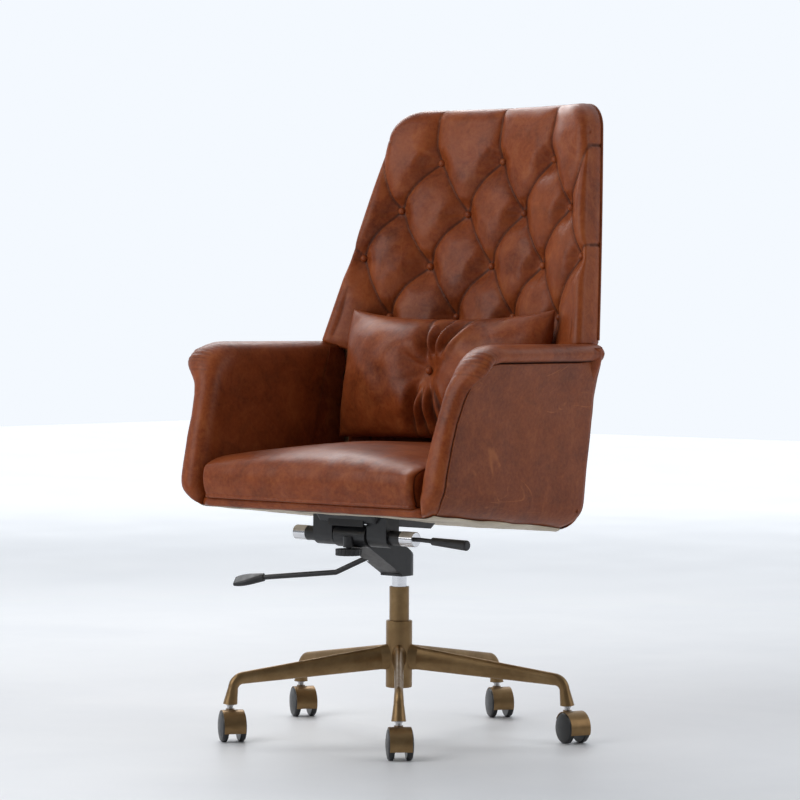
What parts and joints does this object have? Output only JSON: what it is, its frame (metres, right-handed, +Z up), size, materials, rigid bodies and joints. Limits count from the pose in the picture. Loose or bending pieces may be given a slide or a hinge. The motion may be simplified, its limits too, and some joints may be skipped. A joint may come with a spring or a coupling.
{
  "type": "swivel office chair",
  "caption": "High-back leather swivel office chair with a deep-buttoned back, curved arms, a loose pillow, gas lift, tilt mechanism and a five-star caster base.",
  "frame": {"origin": "on the floor under the swivel axis", "axes": "+Z up along the swivel axis; the sitter faces -Y; +X is on the sitter's left"},
  "size_m": [0.7105, 0.685, 1.1835],
  "materials": {
    "leather": "gloss",
    "bronze": "satin",
    "chrome": "polished",
    "steel": "satin",
    "black_steel": "satin",
    "black_plastic": "satin",
    "wheel_plastic": "satin",
    "plywood": "matte",
    "dust_cloth": "matte"
  },
  "bodies": {
    "base": {"base_star": "bronze", "caster_stems": "steel", "column_tube": "bronze", "column_bushing": "black_plastic", "column_retainer": "black_plastic"},
    "lift_rod": {"piston_rod": "steel", "thrust_bearing": "steel"},
    "mechanism": {"gas_cylinder": "chrome", "mechanism_housing": "black_steel", "torsion_tube": "black_steel", "torsion_bar": "steel", "end_caps": "chrome"},
    "valve": {"valve_button": "black_plastic"},
    "height_lever": {"height_lever_rod": "black_steel", "height_lever_paddle": "black_plastic"},
    "tension": {"tension_knob": "black_plastic", "tension_screw": "black_steel"},
    "tilt_lock": {"tilt_lock_rod": "black_steel", "tilt_lock_grip": "black_plastic"},
    "seat": {"tilt_top_plate": "black_steel", "tilt_bushes": "black_plastic", "plate_bolts": "steel", "t_nuts": "steel", "seat_board": "plywood", "dust_cover": "dust_cloth", "seat_cushion": "leather", "front_rail": "leather", "arm_frame_left": "plywood", "arm_frame_right": "plywood", "arm_pad_left": "leather", "arm_pad_right": "leather", "side_panel_left": "leather", "side_panel_right": "leather", "back_frame": "plywood", "back_cushion": "leather", "back_buttons": "leather", "rear_panel": "leather", "back_welt": "leather"},
    "pillow": {"lumbar_pillow": "leather", "pillow_button": "leather"},
    "caster_1": {"caster_hood_1": "bronze", "caster_axle_1": "steel"},
    "wheel_left_1": {"wheel_left_1": "wheel_plastic"},
    "wheel_right_1": {"wheel_right_1": "wheel_plastic"},
    "caster_2": {"caster_hood_2": "bronze", "caster_axle_2": "steel"},
    "wheel_left_2": {"wheel_left_2": "wheel_plastic"},
    "wheel_right_2": {"wheel_right_2": "wheel_plastic"},
    "caster_3": {"caster_hood_3": "bronze", "caster_axle_3": "steel"},
    "wheel_left_3": {"wheel_left_3": "wheel_plastic"},
    "wheel_right_3": {"wheel_right_3": "wheel_plastic"},
    "caster_4": {"caster_hood_4": "bronze", "caster_axle_4": "steel"},
    "wheel_left_4": {"wheel_left_4": "wheel_plastic"},
    "wheel_right_4": {"wheel_right_4": "wheel_plastic"},
    "caster_5": {"caster_hood_5": "bronze", "caster_axle_5": "steel"},
    "wheel_left_5": {"wheel_left_5": "wheel_plastic"},
    "wheel_right_5": {"wheel_right_5": "wheel_plastic"}
  },
  "joints": [
    {"name": "seat_swivel", "type": "hinge", "parent": "base", "child": "lift_rod", "pos_m": [0, 0, 0.1], "axis": [0, 0, 1], "continuous": true},
    {"name": "height_slide", "type": "slide", "parent": "lift_rod", "child": "mechanism", "axis": [0, 0, 1], "range_m": [-0.015, 0.065]},
    {"name": "height_lever_lift", "type": "hinge", "parent": "mechanism", "child": "height_lever", "pos_m": [-0.026, -0.062, 0.331], "axis": [0, 1, 0], "range_deg": [0, 5], "stiffness_Nm_per_rad": 12, "springref_deg": -8.59},
    {"name": "valve_press", "type": "slide", "parent": "mechanism", "child": "valve", "axis": [0, 0, -1], "range_m": [0, 0.003]},
    {"name": "tension_turn", "type": "hinge", "parent": "mechanism", "child": "tension", "pos_m": [0, -0.145, 0.347], "axis": [0, 0, 1], "range_deg": [-720, 720]},
    {"name": "tilt_lock_slide", "type": "slide", "parent": "mechanism", "child": "tilt_lock", "axis": [1, 0, 0], "range_m": [0, 0.012]},
    {"name": "seat_tilt", "type": "hinge", "parent": "mechanism", "child": "seat", "pos_m": [0, -0.125, 0.376], "axis": [-1, 0, 0], "range_deg": [0, 14], "stiffness_Nm_per_rad": 170, "springref_deg": -22.92},
    {"name": "pillow_lift", "type": "slide", "parent": "seat", "child": "pillow", "axis": [0, 0.1676, 0.9859], "range_m": [0, 0.2]},
    {"name": "caster_swivel_1", "type": "hinge", "parent": "base", "child": "caster_1", "pos_m": [0.20891, -0.24896, 0.06], "axis": [0, 0, 1], "continuous": true},
    {"name": "wheel_spin_left_1", "type": "hinge", "parent": "caster_1", "child": "wheel_left_1", "pos_m": [0.22329, -0.26286, 0.028], "axis": [0.6947, 0.7193, 0], "continuous": true},
    {"name": "wheel_spin_right_1", "type": "hinge", "parent": "caster_1", "child": "wheel_right_1", "pos_m": [0.22329, -0.26286, 0.028], "axis": [0.6947, 0.7193, 0], "continuous": true},
    {"name": "caster_swivel_2", "type": "hinge", "parent": "base", "child": "caster_2", "pos_m": [0.30134, 0.12175, 0.06], "axis": [0, 0, 1], "continuous": true},
    {"name": "wheel_spin_left_2", "type": "hinge", "parent": "caster_2", "child": "wheel_left_2", "pos_m": [0.31988, 0.11425, 0.028], "axis": [0.3746, 0.9272, 0], "continuous": true},
    {"name": "wheel_spin_right_2", "type": "hinge", "parent": "caster_2", "child": "wheel_right_2", "pos_m": [0.31988, 0.11425, 0.028], "axis": [0.3746, 0.9272, 0], "continuous": true},
    {"name": "caster_swivel_3", "type": "hinge", "parent": "base", "child": "caster_3", "pos_m": [-0.02267, 0.32421, 0.06], "axis": [0, 0, 1], "continuous": true},
    {"name": "wheel_spin_left_3", "type": "hinge", "parent": "caster_3", "child": "wheel_left_3", "pos_m": [-0.00629, 0.31274, 0.028], "axis": [0.5736, 0.8192, 0], "continuous": true},
    {"name": "wheel_spin_right_3", "type": "hinge", "parent": "caster_3", "child": "wheel_right_3", "pos_m": [-0.00629, 0.31274, 0.028], "axis": [0.5736, 0.8192, 0], "continuous": true},
    {"name": "caster_swivel_4", "type": "hinge", "parent": "base", "child": "caster_4", "pos_m": [-0.31535, 0.07863, 0.06], "axis": [0, 0, 1], "continuous": true},
    {"name": "wheel_spin_left_4", "type": "hinge", "parent": "caster_4", "child": "wheel_left_4", "pos_m": [-0.29877, 0.06744, 0.028], "axis": [0.5592, 0.829, 0], "continuous": true},
    {"name": "wheel_spin_right_4", "type": "hinge", "parent": "caster_4", "child": "wheel_right_4", "pos_m": [-0.29877, 0.06744, 0.028], "axis": [0.5592, 0.829, 0], "continuous": true},
    {"name": "caster_swivel_5", "type": "hinge", "parent": "base", "child": "caster_5", "pos_m": [-0.17222, -0.27562, 0.06], "axis": [0, 0, 1], "continuous": true},
    {"name": "wheel_spin_left_5", "type": "hinge", "parent": "caster_5", "child": "wheel_left_5", "pos_m": [-0.15584, -0.28709, 0.028], "axis": [0.5736, 0.8192, 0], "continuous": true},
    {"name": "wheel_spin_right_5", "type": "hinge", "parent": "caster_5", "child": "wheel_right_5", "pos_m": [-0.15584, -0.28709, 0.028], "axis": [0.5736, 0.8192, 0], "continuous": true}
  ],
  "couplings": [
    {"joint": "valve_press", "follows": "height_lever_lift", "m_per_rad": 0.03}
  ]
}
